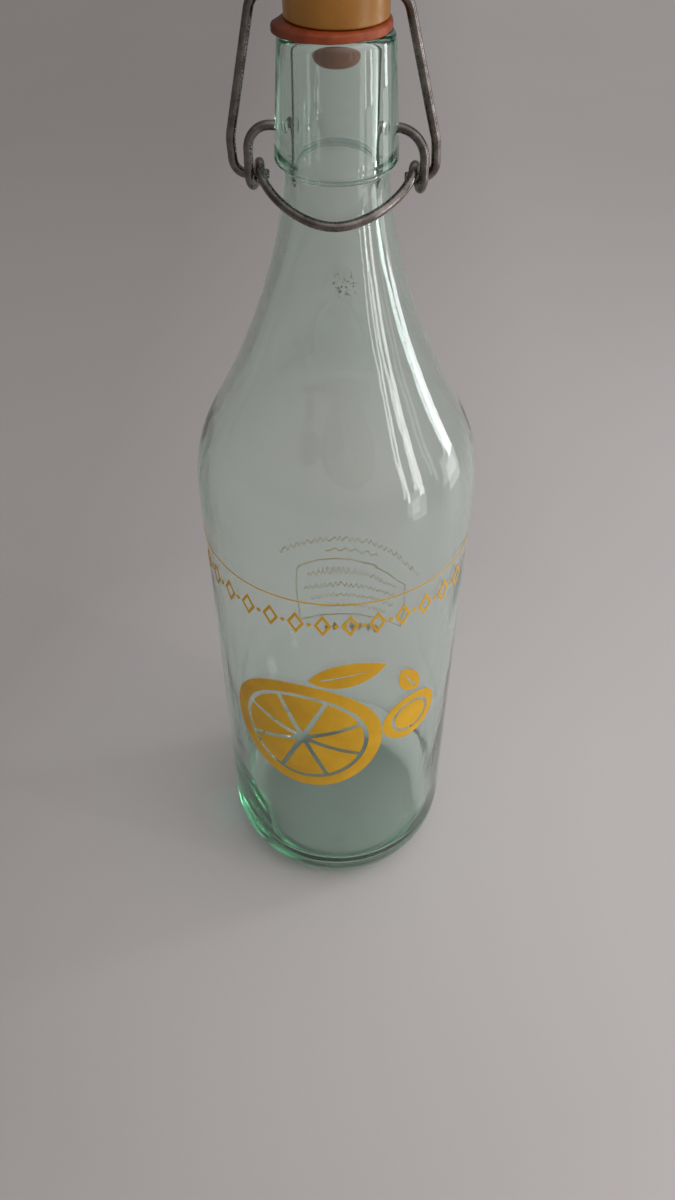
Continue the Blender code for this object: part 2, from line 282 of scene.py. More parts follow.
def without_repeats(points):
    """The same points, less those that lie on the one before."""
    kept = [points[0]]
    for point in points[1:]:
        if math.dist(point, kept[-1]) > SAME_POINT:
            kept.append(point)
    return kept


def noise_round(angle, scale, level):
    """Smooth noise that closes on itself round the bottle."""
    return noise.noise(Vector((scale * math.sin(angle), scale * math.cos(angle), level)))


def smoothed(piece, sharp_deg=SHARP_DEG):
    """The same object, smooth-shaded but for its sharp edges."""
    piece.data.shade_smooth()
    piece.data.set_sharp_from_angle(angle=math.radians(sharp_deg))
    return piece


def finished(name, mesh, sharp_deg=SHARP_DEG):
    """A smooth-shaded object from a bmesh, with its sharp edges kept."""
    data = bpy.data.meshes.new(name)
    mesh.to_mesh(data)
    mesh.free()
    piece = bpy.data.objects.new(name, data)
    bpy.context.scene.collection.objects.link(piece)
    return smoothed(piece, sharp_deg)


def dressed(piece, material):
    """The same object, in one material."""
    piece.data.materials.clear()
    piece.data.materials.append(material)
    return piece


def applied(piece):
    """The same object with its modifiers applied."""
    bpy.context.view_layer.update()
    depsgraph = bpy.context.evaluated_depsgraph_get()
    data = bpy.data.meshes.new_from_object(piece.evaluated_get(depsgraph))
    piece.modifiers.clear()
    piece.data = data
    return piece


def revolve(name, outline, steps, shift=None):
    """A body turned about Z from an outline of (radius, height). Points on the axis become poles.

    shift(angle, radius, height, index) gives the place (radius, height) that a point really takes.
    """
    mesh = bmesh.new()
    rings = []
    angles = [2 * math.pi * step / steps for step in range(steps)]
    for index, (radius, height) in enumerate(outline):
        if radius < ON_AXIS:
            rings.append([mesh.verts.new((0, 0, height))])
            continue
        ring = []
        for angle in angles:
            r, z = (radius, height) if shift is None else shift(angle, radius, height, index)
            ring.append(mesh.verts.new((r * math.sin(angle), -r * math.cos(angle), z)))
        rings.append(ring)
    pairs = list(zip(rings, rings[1:]))
    if outline[0][0] > ON_AXIS:
        pairs.append((rings[-1], rings[0]))
    for low, high in pairs:
        for i in range(steps):
            j = (i + 1) % steps
            corners = [low[i % len(low)], low[j % len(low)], high[j % len(high)], high[i % len(high)]]
            face = [corner for k, corner in enumerate(corners) if corner not in corners[:k]]
            mesh.faces.new(face)
    bmesh.ops.recalc_face_normals(mesh, faces=mesh.faces)
    return finished(name, mesh)


def drilled(piece, centre, length, steps):
    """Cuts a round hole for a wire along X."""
    mesh = bmesh.new()
    bmesh.ops.create_cone(
        mesh, cap_ends=True, segments=steps, radius1=SOCKET_RADIUS, radius2=SOCKET_RADIUS, depth=length)
    bmesh.ops.rotate(mesh, verts=mesh.verts, matrix=Matrix.Rotation(math.radians(90), 3, "Y"))
    bmesh.ops.translate(mesh, verts=mesh.verts, vec=centre)
    cutter = finished("cutter", mesh)
    boolean = piece.modifiers.new("Cut", "BOOLEAN")
    boolean.operation = "DIFFERENCE"
    boolean.solver = "EXACT"
    boolean.object = cutter
    applied(piece)
    bpy.data.objects.remove(cutter, do_unlink=True)
    return piece


# Glass bottle

def neck_curve(low_radius, high_radius):
    """Shoulder and neck, from the top of the straight side up to the foot of the collar."""
    turn = (low_radius - SHOULDER_INSET, NECK_FOOT)
    first_pull = (low_radius, SHOULDER_HEIGHT + SHOULDER_PULL_SHARES[0] * SHOULDER_RISE)
    pull = SHOULDER_PULL_SHARES[1] * SHOULDER_RISE
    into_turn = (turn[0] + pull * math.sin(SHOULDER_SLOPE), turn[1] - pull * math.cos(SHOULDER_SLOPE))
    shoulder = cubic((low_radius, SHOULDER_HEIGHT), first_pull, into_turn, turn, SHOULDER_STEPS)
    way_in = SWEEP_PULL_SHARES[0] * (turn[0] - high_radius)
    out_of_turn = (turn[0] - way_in, turn[1] + way_in / math.tan(SHOULDER_SLOPE))
    last_pull = (high_radius, NECK_TOP - SWEEP_PULL_SHARES[1] * NECK_SWEEP)
    sweep = cubic(turn, out_of_turn, last_pull, (high_radius, NECK_TOP), SWEEP_STEPS)
    return shoulder + sweep[1:]


def dome(radius, foot):
    """The shallow push-up in the base, from its edge up to the axis."""
    shares = [1 - step / DOME_STEPS for step in range(DOME_STEPS + 1)]
    return [(radius * share, foot + PUSH_UP * (1 - share * share)) for share in shares]


def bottle_inside():
    """From the middle of the floor up to the mouth."""
    side = BODY_RADIUS - WALL
    swell = SWELL_RADIUS - WALL
    points = dome(INNER_FLOOR_RADIUS, BASE_THICKNESS)[::-1]
    floor_edge = points[-1]
    side_foot = (side, BASE_THICKNESS + INNER_HEEL_HEIGHT)
    start_pull = ((floor_edge[0] + side) / 2, floor_edge[1] + INNER_HEEL_LIFT)
    end_pull = (side, side_foot[1] - INNER_HEEL_SHARE * INNER_HEEL_HEIGHT)
    points += cubic(floor_edge, start_pull, end_pull, side_foot, HEEL_STEPS)
    points += straight(side_foot, (swell, SHOULDER_HEIGHT), WALL_STEPS)
    points += neck_curve(swell, BORE_RADIUS)
    points += straight((BORE_RADIUS, NECK_TOP), (BORE_RADIUS, RIM_HEIGHT - MOUTH_CHAMFER), BORE_STEPS)
    points += [(BORE_RADIUS + MOUTH_CHAMFER, RIM_HEIGHT)]
    return without_repeats(points)


def bottle_outside():
    """From the lip down to the middle of the base."""
    lip_centre = (LIP_ROUND_START, RIM_HEIGHT - LIP_ROUND)
    edge_centre = (COLLAR_RADIUS - COLLAR_EDGE_ROUND, COLLAR_FOOT + COLLAR_EDGE_ROUND)
    points = arc(lip_centre, LIP_ROUND, 90, 0, COLLAR_STEPS)
    points += arc(edge_centre, COLLAR_EDGE_ROUND, 0, -COLLAR_TURN_DEG, COLLAR_STEPS)
    edge = points[-1]
    out_pull = (edge[0] - COLLAR_OUT_PULL[0], edge[1] - COLLAR_OUT_PULL[1])
    in_pull = (NECK_RADIUS, COLLAR_FOOT - COLLAR_IN_PULL)
    neck = (NECK_RADIUS, COLLAR_FOOT - COLLAR_RUN_OUT)
    points += cubic(edge, out_pull, in_pull, neck, COLLAR_STEPS)[1:]
    points += neck_curve(SWELL_RADIUS, NECK_RADIUS)[::-1]
    points += [(SWELL_RADIUS, SWELL_FOOT)]
    seam_top = (BODY_RADIUS, HEEL_HEIGHT + 2 * SEAM_HALF_WIDTH)
    points += straight((BODY_RADIUS, SWELL_RAMP_FOOT), seam_top, SIDE_STEPS)
    points += [(BODY_RADIUS + SEAM_HEIGHT, HEEL_HEIGHT + SEAM_HALF_WIDTH)]
    low = (BEARING_RADIUS, 0)
    high = (BODY_RADIUS, HEEL_HEIGHT)
    reach = high[0] - low[0]
    start_pull = (low[0] + HEEL_START_SHARES[0] * reach, HEEL_START_SHARES[1] * HEEL_HEIGHT)
    end_pull = (high[0], high[1] - HEEL_END_SHARE * HEEL_HEIGHT)
    points += cubic(low, start_pull, end_pull, high, HEEL_STEPS)[::-1]
    points += dome(BEARING_RADIUS - BEARING_WIDTH, 0)
    return without_repeats(points)


def outer_radius(height):
    """The radius of the printed side at a height."""
    heights = (0, SWELL_RAMP_FOOT, SWELL_FOOT)
    return float(np.interp(height, heights, (BODY_RADIUS, BODY_RADIUS, SWELL_RADIUS)))


def glass_bottle(material):
    inside = bottle_inside()
    outside = bottle_outside()

    def uneven(angle, radius, height, index):
        """The inside of a blown bottle isn't true: its wall wanders, and its foot is thicker on the left."""
        if index >= len(inside):
            return radius, height
        off_thick = (angle - THICK_SIDE + math.pi) % (2 * math.pi) - math.pi
        lean = math.exp(-(off_thick / THICK_SPREAD) ** 2)
        foot = clamped((THICK_TOP - height) / (THICK_TOP - THICK_FULL))
        foot = foot * foot * (3 - 2 * foot) * min(1.0, radius / THICK_FLOOR_RADIUS)
        strength = WANDER * clamped((WANDER_FADE_TOP - height) / WANDER_FADE, WANDER_IN_NECK)
        strength *= min(1.0, radius / WANDER_FLOOR_RADIUS)
        wander = strength * (noise_round(angle, WANDER_SCALE, height / WANDER_PITCH) - WANDER_MEAN)
        return radius + wander - THICK_EXTRA * lean * foot, height

    body = revolve("bottle_glass", inside + outside, ROUND_STEPS, uneven)
    for side in (-1, 1):
        centre = Vector((side * (SOCKET_FLOOR + SOCKET_CUT / 2), 0, PIVOT.z))
        drilled(body, centre, SOCKET_CUT, SOCKET_STEPS)
    return dressed(smoothed(body), material)


# Wires

def rounded_path(corners, bends):
    """A path through corners, with an arc of the given radius at each inner corner."""
    path = [corners[0]]
    for before, corner, after, bend in zip(corners, corners[1:], corners[2:], bends):
        into = (corner - before).normalized()
        out = (after - corner).normalized()
        half_turn = into.angle(out) / 2
        setback = bend * math.tan(half_turn)
        centre = corner + (out - into).normalized() * (bend / math.cos(half_turn))
        start = corner - into * setback - centre
        axis = into.cross(out).normalized()
        for step in range(BEND_STEPS + 1):
            path.append(centre + Matrix.Rotation(2 * half_turn * step / BEND_STEPS, 3, axis) @ start)
    path.append(corners[-1])
    return path


def respaced(path):
    """The same path, with its points evenly spaced."""
    lengths = np.cumsum([0] + [(b - a).length for a, b in zip(path, path[1:])])
    count = max(2, round(lengths[-1] / WIRE_STEP))
    places = np.linspace(0, lengths[-1], count + 1)
    axes = [np.interp(places, lengths, [p[i] for p in path]) for i in range(3)]
    return [Vector(point) for point in zip(*axes)]


def wire(name, left, right, material):
    """A round wire with slightly rounded ends, along a left half and a right half that end at the middle."""
    path = respaced(left + right[::-1][1:])
    last = len(path) - 1
    tangents = [(path[min(i + 1, last)] - path[max(i - 1, 0)]).normalized() for i in range(len(path))]
    inset = WIRE_END_INSET * WIRE_RADIUS
    stations = [
        (path[0], tangents[0], WIRE_END_SHARE),
        (path[0] + tangents[0] * inset, tangents[0], WIRE_NEAR_END_SHARE)]
    stations += [(place, tangent, 1.0) for place, tangent in zip(path[1:-1], tangents[1:-1])]
    stations += [
        (path[-1] - tangents[-1] * inset, tangents[-1], WIRE_NEAR_END_SHARE),
        (path[-1], tangents[-1], WIRE_END_SHARE)]
    mesh = bmesh.new()
    rings = []
    before = tangents[0]
    normal = before.orthogonal().normalized()
    for place, tangent, share in stations:
        normal = (before.rotation_difference(tangent) @ normal).normalized()
        normal = (normal - tangent * normal.dot(tangent)).normalized()
        side = tangent.cross(normal)
        before = tangent
        ring = []
        for step in range(WIRE_SIDES):
            angle = 2 * math.pi * step / WIRE_SIDES
            offset = normal * math.cos(angle) + side * math.sin(angle)
            ring.append(mesh.verts.new(place + offset * WIRE_RADIUS * share))
        rings.append(ring)
    for low, high in zip(rings, rings[1:]):
        for i in range(WIRE_SIDES):
            j = (i + 1) % WIRE_SIDES
            mesh.faces.new((low[i], low[j], high[j], high[i]))
    mesh.faces.new(rings[0][::-1])
    mesh.faces.new(rings[-1])
    bmesh.ops.recalc_face_normals(mesh, faces=mesh.faces)
    return dressed(finished(name, mesh, WIRE_SHARP_DEG), material)


def lever_half(arm_bend):
    """The lever's left half: socket end, arm, one coil round the bail's hook, and half of the handle."""
    pivot_from_eye = (EYE.y - PIVOT.y, EYE.z - PIVOT.z)
    tip_from_eye = (EYE.y - TIP.y, EYE.z - TIP.z)
    first = math.atan2(*pivot_from_eye[::-1]) + math.acos(EYE_RADIUS / math.hypot(*pivot_from_eye))
    last = math.atan2(*tip_from_eye[::-1]) - math.acos(EYE_RADIUS / math.hypot(*tip_from_eye)) + 2 * math.pi
    coil = []
    for step in range(COIL_STEPS + 1):
        share = step / COIL_STEPS
        angle = first + share * (last - first)
        x = -ARM_X + share * (ARM_X - HANDLE_X)
        coil.append(Vector((x, EYE.y - EYE_RADIUS * math.cos(angle), EYE.z - EYE_RADIUS * math.sin(angle))))
    start = Vector((-(SOCKET_FLOOR + LEVER_END_GAP), 0, PIVOT.z))
    arm = rounded_path([start, Vector((-ARM_X, 0, PIVOT.z)), coil[0]], [arm_bend])
    leaving = coil[-1]
    side_pull = leaving + HANDLE_SIDE_SHARE * (TIP - Vector((0, leaving.y, leaving.z)))
    tip_pull = TIP - Vector((HANDLE_TIP_SHARE * HANDLE_X, 0, 0))
    handle = [Vector(point) for point in cubic(leaving, side_pull, tip_pull, TIP, HANDLE_STEPS)]
    return arm[:-1] + coil + handle[1:]


def lever_wire(material):
    left = lever_half(LEFT_ARM_BEND)
    right = [Vector((-p.x, p.y, p.z)) for p in lever_half(RIGHT_ARM_BEND)]
    return wire("lever_wire_worn", left, right, material)


def bail_half(side, hook_x, knee_x, shoulder_x):
    """One half of the bail: hook through the eye, leg up past the collar, and half of the crossbar."""
    rise = CROSSBAR - EYE
    sideways = Vector((side, 0, 0))
    hook_end = EYE + sideways * HOOK_END_X
    hook_corner = EYE + sideways * hook_x
    knee = EYE + sideways * knee_x + rise.normalized() * KNEE_RISE
    shoulder = EYE + sideways * shoulder_x + rise
    return rounded_path([hook_end, hook_corner, knee, shoulder, CROSSBAR], BAIL_BENDS)


def bail_wire(material):
    return wire("bail_wire_worn", bail_half(-1, *LEFT_LEG), bail_half(1, *RIGHT_LEG), material)


# Stopper and gasket

def stopper(material):
    """The head with its cross hole, and the nose on its stem."""
    edge_centre = (STOPPER_RADIUS - STOPPER_EDGE_ROUND, STOPPER_TOP - STOPPER_EDGE_ROUND)
    side_top = (STOPPER_RADIUS, STOPPER_TOP - STOPPER_SIDE_DROP)
    side_foot = (STOPPER_RADIUS - STOPPER_TAPER, STOPPER_FOOT + STOPPER_SIDE_RISE)
    foot_radius = STOPPER_RADIUS - STOPPER_FOOT_INSET - STOPPER_FOOT_ROUND
    foot_centre = (foot_radius, STOPPER_FOOT + STOPPER_FOOT_ROUND)
    nose_edge_centre = (NOSE_RADIUS - NOSE_EDGE_ROUND, RIM_HEIGHT - NOSE_EDGE_ROUND)
    nose_tip_centre = (NOSE_RADIUS - NOSE_TIP_ROUND, NOSE_TIP + NOSE_TIP_ROUND)
    outline = [(radius, STOPPER_TOP + rise) for radius, rise in STOPPER_CROWN]
    outline += arc(edge_centre, STOPPER_EDGE_ROUND, STOPPER_EDGE_DEG, 0, STOPPER_EDGE_STEPS)
    outline += straight(side_top, side_foot, STOPPER_SIDE_STEPS)
    outline += arc(foot_centre, STOPPER_FOOT_ROUND, 0, -90, STOPPER_FOOT_STEPS)
    outline += [(STEM_RADIUS, STOPPER_FOOT), (STEM_RADIUS, RIM_HEIGHT)]
    outline += arc(nose_edge_centre, NOSE_EDGE_ROUND, 90, 0, NOSE_EDGE_STEPS)
    outline += arc(nose_tip_centre, NOSE_TIP_ROUND, 0, -90, NOSE_TIP_STEPS)
    outline += [(0, NOSE_TIP)]
    body = revolve("stopper_moulded", without_repeats(outline), STOPPER_ROUND_STEPS)
    drilled(body, CROSSBAR, CROSS_HOLE_LENGTH, CROSS_HOLE_STEPS)
    return dressed(smoothed(body), material)


def gasket(material):
    """The rubber ring, squeezed out of true."""
    top = GASKET_FOOT + GASKET_THICKNESS
    top_corner = (GASKET_RADIUS - GASKET_CORNER, top - GASKET_CORNER)
    foot_corner = (GASKET_RADIUS - GASKET_CORNER, GASKET_FOOT + GASKET_CORNER)
    outline = [(GASKET_INNER_RADIUS, GASKET_FOOT), (GASKET_INNER_RADIUS, top)]
    outline += [(radius, top) for radius in GASKET_ROWS]
    outline += arc(top_corner, GASKET_CORNER, 90, 0, GASKET_CORNER_STEPS)
    outline += arc(foot_corner, GASKET_CORNER, 0, -90, GASKET_CORNER_STEPS)
    outline += [(radius, GASKET_FOOT) for radius in reversed(GASKET_ROWS)]

    def squeezed(angle, radius, height, index):
        right = math.sin(angle)
        wave = noise_round(angle, WAVE_SCALE, WAVE_LEVEL)
        ripple = noise_round(angle, RIPPLE_SCALE, RIPPLE_LEVEL)
        lump = math.exp(-((angle - LUMP_SIDE) / LUMP_SPREAD) ** 2)
        share = (radius - GASKET_INNER_RADIUS) / (GASKET_RADIUS - GASKET_INNER_RADIUS)
        across = (height - GASKET_FOOT) / GASKET_THICKNESS - 0.5
        out = WAVE_OUT * wave + RIPPLE_OUT * ripple + LUMP_REACH * lump - GASKET_PUSH * right
        up = WAVE_UP * wave + RIPPLE_UP * ripple + LUMP_SWELL * lump * across
        r = radius + share * out
        lip_fall = max(0.0, r - LIP_ROUND_START) ** 2 / (2 * LIP_ROUND)
        droop = (DROOP_SHARE + SIDE_DROOP_SHARE * right ** 2) * lip_fall
        return r, height + share * up - min(DROOP_LIMIT, droop)

    return dressed(revolve("gasket_rubber_ring", outline, ROUND_STEPS, squeezed), material)


# Print on the glass: each shape is an outline and its holes, in millimetres, u to the right round it and v up

def circle(u, v, radius, steps):
    angles = np.radians(np.linspace(0, 360, steps + 1))[:-1]
    return [(u + radius * math.cos(a), v + radius * math.sin(a)) for a in angles]


def diamond(u, v, width, height):
    return [(u - width / 2, v), (u, v - height / 2), (u + width / 2, v), (u, v + height / 2)]


def rectangle(low, high):
    return [low, (high[0], low[1]), high, (low[0], high[1])]


def band(u0, u1, v, thickness, steps):
    """A thin line round the bottle."""
    low = straight((u0, v - thickness / 2), (u1, v - thickness / 2), steps)
    high = straight((u1, v + thickness / 2), (u0, v + thickness / 2), steps)
    return low + high


def wave_row(reach, v, height, pitch, thickness):
    """A thin wavy line, as long on both sides of the middle."""
    count = round(2 * reach / pitch * 8)
    places = np.linspace(-reach, reach, count)
    middle = [(u, v + height / 2 * math.sin(2 * math.pi * (u + reach) / pitch)) for u in places]
    low = [(u, w - thickness / 2) for u, w in middle]
    high = [(u, w + thickness / 2) for u, w in middle[::-1]]
    return low + high


def rounded_polygon(corners, radius, steps=4):
    """A polygon with each corner cut by a short curve, less than half of the way along its sides."""
    points = []
    count = len(corners)
    for i in range(count):
        before, here, after = (Vector(corners[k % count]) for k in (i - 1, i, i + 1))
        into = before - here
        out = after - here
        start = here + into.normalized() * min(radius, into.length / 2.2)
        end = here + out.normalized() * min(radius, out.length / 2.2)
        for step in range(steps + 1):
            t = step / steps
            points.append(tuple(start * (1 - t) ** 2 + here * 2 * t * (1 - t) + end * t * t))
    return points


def placed(points, u, v, turn_deg):
    """The points turned about the origin, and then moved."""
    turn = Matrix.Rotation(math.radians(turn_deg), 2)
    return [tuple(Vector((u, v)) + turn @ Vector(point)) for point in points]


def segment(u, v, inner, outer, middle_deg, half_deg, gap, corner, points=14):
    """A segment of a cut fruit: a wedge with rounded corners, set back from its neighbours by a gap."""
    edge = math.radians(half_deg) - gap / outer
    wedge = [(inner, 0.0)]
    wedge += [(outer * math.cos(a), outer * math.sin(a)) for a in np.linspace(-edge, edge, points)]
    return placed(rounded_polygon(wedge, corner), u, v, middle_deg)


def leaf(u, v, length, width, turn_deg):
    """A leaf from its stem end, and the gap along its midrib. Its curves' pulls are shares of its size."""
    edge = cubic((0, 0), (0.30 * length, 0.75 * width), (0.75 * length, 0.55 * width), (length, 0), 16)
    under = cubic((length, 0), (0.75 * length, -0.50 * width), (0.25 * length, -0.60 * width), (0, 0), 16)
    rib = cubic((0.16 * length, 0.35), (0.4 * length, 0.9), (0.6 * length, 0.6), (0.84 * length, 0.05), 10)
    rib += cubic((0.84 * length, -0.05), (0.6 * length, 0.0), (0.4 * length, 0.0), (0.16 * length, -0.35), 10)
    return [placed(edge[:-1] + under[:-1], u, v, turn_deg), placed(rib, u, v, turn_deg)]


def front_shapes():
    """A slice of fruit and a berry under leaves, a band of diamonds, and a thin line above."""
    fruit = (-9.5, 98.5)
    segments = 8
    turn_deg = 360 / segments
    shapes = [[circle(*fruit, 27.5, 96), circle(*fruit, 22.6, 96)]]
    for k in range(segments):
        middle_deg = 90 + turn_deg * k
        shapes.append([segment(*fruit, 2.6, 21.0, middle_deg, turn_deg / 2, gap=0.75, corner=1.1)])
    berry = (29.0, 102.5)
    shapes.append([circle(*berry, 11.0, 64), circle(*berry, 7.6, 56)])
    shapes.append([circle(*berry, 6.4, 48)])
    shapes.append(leaf(-7.0, 128.5, length=26.0, width=12.0, turn_deg=14))
    shapes.append(leaf(31.0, 115.5, length=15.0, width=8.0, turn_deg=118))
    row_middle = -2.0
    row_height = 155.0
    pitch = 8.3
    each_side = 6
    for k in range(-each_side, each_side + 1):
        u = row_middle + pitch * k
        shapes.append([diamond(u, row_height, 5.4, 9.0), diamond(u, row_height, 3.3, 5.6)])
        if k < each_side:
            shapes.append([circle(u + pitch / 2, row_height, 0.75, 16)])
    shapes.append([band(-58, 56, 164.3, thickness=0.55, steps=80)])
    return shapes


def back_shapes():
    """A frame of fine wavy rows, with two rows over it and small diamonds under it."""
    foot = 76.0
    head = 103.0
    side = 24.0
    line = 0.45
    outer = rectangle((-side, foot), (side, head))
    inner = rectangle((-side + line, foot + line), (side - line, head - line))
    shapes = [[outer, inner]]
    first_drop = 4.8
    row_gap = 5.6
    for k, reach in enumerate((19.5, 20.5, 18.0, 15.0)):
        v = head - first_drop - row_gap * k
        shapes.append([wave_row(reach, v, height=1.5, pitch=2.1, thickness=0.42)])
    shapes.append([wave_row(31.5, 113.0, height=2.0, pitch=2.6, thickness=0.5)])
    shapes.append([wave_row(11.0, 107.5, height=1.4, pitch=4.4, thickness=0.4)])
    pitch = 3.6
    for k in range(-3, 4):
        shapes.append([diamond(pitch * k, 68.5, 2.9, 6.0)])
    return shapes


def printed(name, shapes, facing_deg, material):
    """Thin enamel laid round the bottle, from flat shapes."""
    mesh = bmesh.new()
    for loops in shapes:
        flat = [[Vector((*point, 0)) for point in loop] for loop in loops]
        corners = [mesh.verts.new(point) for loop in flat for point in loop]
        for triangle in geometry.tessellate_polygon(flat):
            if len(set(triangle)) == 3:
                mesh.faces.new([corners[i] for i in triangle])
    for k in range(-STRIPS_EACH_SIDE, STRIPS_EACH_SIDE + 1):
        every = mesh.verts[:] + mesh.edges[:] + mesh.faces[:]
        bmesh.ops.bisect_plane(mesh, geom=every, plane_co=(STRIP_WIDTH * k, 0, 0), plane_no=(1, 0, 0))
    bmesh.ops.recalc_face_normals(mesh, faces=mesh.faces)
    for face in mesh.faces:
        if face.normal.z < 0:
            face.normal_flip()
    facing = math.radians(facing_deg)
    for vertex in mesh.verts:
        height = vertex.co.y / MM_PER_M
        radius = outer_radius(height) + ENAMEL_LIFT
        angle = facing + vertex.co.x / (MM_PER_M * BODY_RADIUS)
        vertex.co = (radius * math.sin(angle), -radius * math.cos(angle), height)
    mesh.normal_update()
    piece = finished(name, mesh)
    solid = piece.modifiers.new("Thickness", "SOLIDIFY")
    solid.thickness = ENAMEL_THICKNESS
    solid.offset = 1.0
    applied(piece)
    piece.data.shade_flat()
    return dressed(piece, material)


# Materials

class Graph:
    """A material's node tree, with short calls for adding and linking nodes."""

    def __init__(self, name):
        self.material = bpy.data.materials.new(name)
        self.material.use_nodes = True
        self.tree = self.material.node_tree
        self.shader = self.tree.nodes["Principled BSDF"]
        self.output = self.tree.nodes["Material Output"]

    def add(self, kind, **settings):
        node = self.tree.nodes.new(kind)
        for key, value in settings.items():
            setattr(node, key, value)
        return node

    def link(self, source, target):
        self.tree.links.new(source, target)

    def set(self, **values):
        """Gives inputs of the shader one value for the whole surface."""
        for key, value in values.items():
            self.shader.inputs[key.replace("_", " ")].default_value = value

    def drive(self, name, source):
        """Lets a pattern set an input of the shader."""
        self.link(source, self.shader.inputs[name])

    def place(self):
        return self.add("ShaderNodeTexCoord").outputs["Object"]

    def parts(self, place):
        """The outputs X, Y and Z of a place."""
        node = self.add("ShaderNodeSeparateXYZ")
        self.link(place, node.inputs["Vector"])
        return node.outputs

    def scaled(self, place, scale):
        mapping = self.add("ShaderNodeMapping")
        mapping.inputs["Scale"].default_value = scale
        self.link(place, mapping.inputs["Vector"])
        return mapping.outputs["Vector"]

    def noise(self, place, scale, detail=3.0, roughness=0.5):
        node = self.add("ShaderNodeTexNoise")
        node.inputs["Scale"].default_value = scale
        node.inputs["Detail"].default_value = detail
        node.inputs["Roughness"].default_value = roughness
        self.link(place, node.inputs["Vector"])
        return node.outputs["Fac"]

    def ranged(self, source, low, high, to_low, to_high):
        node = self.add("ShaderNodeMapRange")
        for key, value in (("From Min", low), ("From Max", high), ("To Min", to_low), ("To Max", to_high)):
            node.inputs[key].default_value = value
        self.link(source, node.inputs["Value"])
        return node.outputs["Result"]

    def product(self, first, second):
        node = self.add("ShaderNodeMath", operation="MULTIPLY")
        self.link(first, node.inputs[0])
        self.link(second, node.inputs[1])
        return node.outputs["Value"]

    def distance(self, place, point):
        node = self.add("ShaderNodeVectorMath", operation="DISTANCE")
        node.inputs[1].default_value = point
        self.link(place, node.inputs[0])
        return node.outputs["Value"]

    def blend(self, share, first, second):
        """Goes from the first colour or source to the second."""
        node = self.add("ShaderNodeMix", data_type="RGBA")
        colours = [socket for socket in node.inputs if socket.type == "RGBA"]
        for value, socket in ((first, colours[0]), (second, colours[1])):
            if isinstance(value, bpy.types.NodeSocket):
                self.link(value, socket)
            else:
                socket.default_value = (*value, 1.0)
        self.link(share, node.inputs["Factor"])
        return [socket for socket in node.outputs if socket.type == "RGBA"][0]

    def bump(self, height, distance, strength=1.0):
        node = self.add("ShaderNodeBump")
        node.inputs["Distance"].default_value = distance
        node.inputs["Strength"].default_value = strength
        self.link(height, node.inputs["Height"])
        return node.outputs["Normal"]


def glass_material():
    """Rubbed and hazy green glass, with a greener foot and a cluster of small dark bubbles on the neck."""
    clear = (0.985, 1.0, 0.99)
    green = (0.915, 0.990, 0.945)
    bubble = (0.12, 0.13, 0.11)
    bubbles_at = (0.0025, -0.0139, 0.2492)
    absorbed = (0.10, 0.80, 0.50)
    density = 25.0
    graph = Graph("pale_green_glass_worn")
    graph.set(Base_Color=(*clear, 1), Roughness=0.012, IOR=1.52, Transmission_Weight=1.0)
    place = graph.place()
    ripple = graph.noise(graph.scaled(place, (1, 1, 0.35)), 90.0, 2.0)
    graph.drive("Normal", graph.bump(ripple, 0.00012))
    rubbed = graph.noise(place, 160.0, 5.0, 0.65)
    graph.drive("Roughness", graph.ranged(rubbed, 0.45, 0.8, 0.025, 0.10))
    hazy = graph.noise(place, 45.0, 4.0, 0.6)
    graph.drive("Transmission Weight", graph.ranged(hazy, 0.35, 0.70, 0.992, 0.970))
    foot = graph.ranged(graph.parts(place)["Z"], 0.012, 0.050, 1, 0)
    colour = graph.blend(foot, clear, green)
    specks = graph.ranged(graph.noise(place, 1100.0, 1.0), 0.60, 0.66, 0, 1)
    cluster = graph.ranged(graph.distance(place, bubbles_at), 0.0020, 0.0042, 1, 0)
    graph.drive("Base Color", graph.blend(graph.product(specks, cluster), colour, bubble))
    volume = graph.add("ShaderNodeVolumeAbsorption")
    volume.inputs["Color"].default_value = (*absorbed, 1)
    volume.inputs["Density"].default_value = density
    graph.link(volume.outputs["Volume"], graph.output.inputs["Volume"])
    return graph.material


def wire_material():
    """Drawn steel, mottled and dulled by use."""
    dark = (0.115, 0.098, 0.090)
    light = (0.235, 0.210, 0.195)
    graph = Graph("drawn_steel_worn")
    graph.set(Metallic=1.0, Roughness=0.36)
    place = graph.place()
    broad = graph.noise(place, 260.0, 4.0, 0.6)
    fine = graph.noise(place, 1500.0, 3.0, 0.6)
    graph.drive("Base Color", graph.blend(graph.ranged(broad, 0.38, 0.66, 0, 1), dark, light))
    graph.drive("Roughness", graph.ranged(fine, 0.3, 0.7, 0.19, 0.34))
    graph.drive("Normal", graph.bump(fine, 0.00003, 0.15))
    return graph.material


def plastic_material():
    """Ochre plastic with grime. The nose, below the head, is darker and redder."""
    dark = (0.30, 0.120, 0.012)
    light = (0.37, 0.158, 0.019)
    grimy = (0.18, 0.075, 0.018)
    # The colour of the nose below the head: darker and redder than the rest.
    darker_redder_nose = (0.27, 0.050, 0.006)
    graph = Graph("yellow_plastic_moulded")
    graph.set(Roughness=0.30, IOR=1.48, Subsurface_Weight=0.10, Subsurface_Scale=0.003)
    graph.set(Subsurface_Radius=(1.0, 0.6, 0.2))
    place = graph.place()
    cloudy = graph.noise(place, 120.0, 4.0, 0.55)
    grime = graph.noise(place, 420.0, 5.0, 0.7)
    colour = graph.blend(graph.ranged(cloudy, 0.35, 0.65, 0, 1), dark, light)
    colour = graph.blend(graph.ranged(grime, 0.60, 0.78, 0, 0.5), colour, grimy)
    nose = graph.ranged(graph.parts(place)["Z"], STOPPER_FOOT - 0.0006, STOPPER_FOOT - 0.0001, 0.85, 0)
    graph.drive("Base Color", graph.blend(nose, colour, darker_redder_nose))
    graph.drive("Roughness", graph.ranged(grime, 0.3, 0.75, 0.25, 0.48))
    graph.drive("Normal", graph.bump(grime, 0.00005, 0.6))
    return graph.material


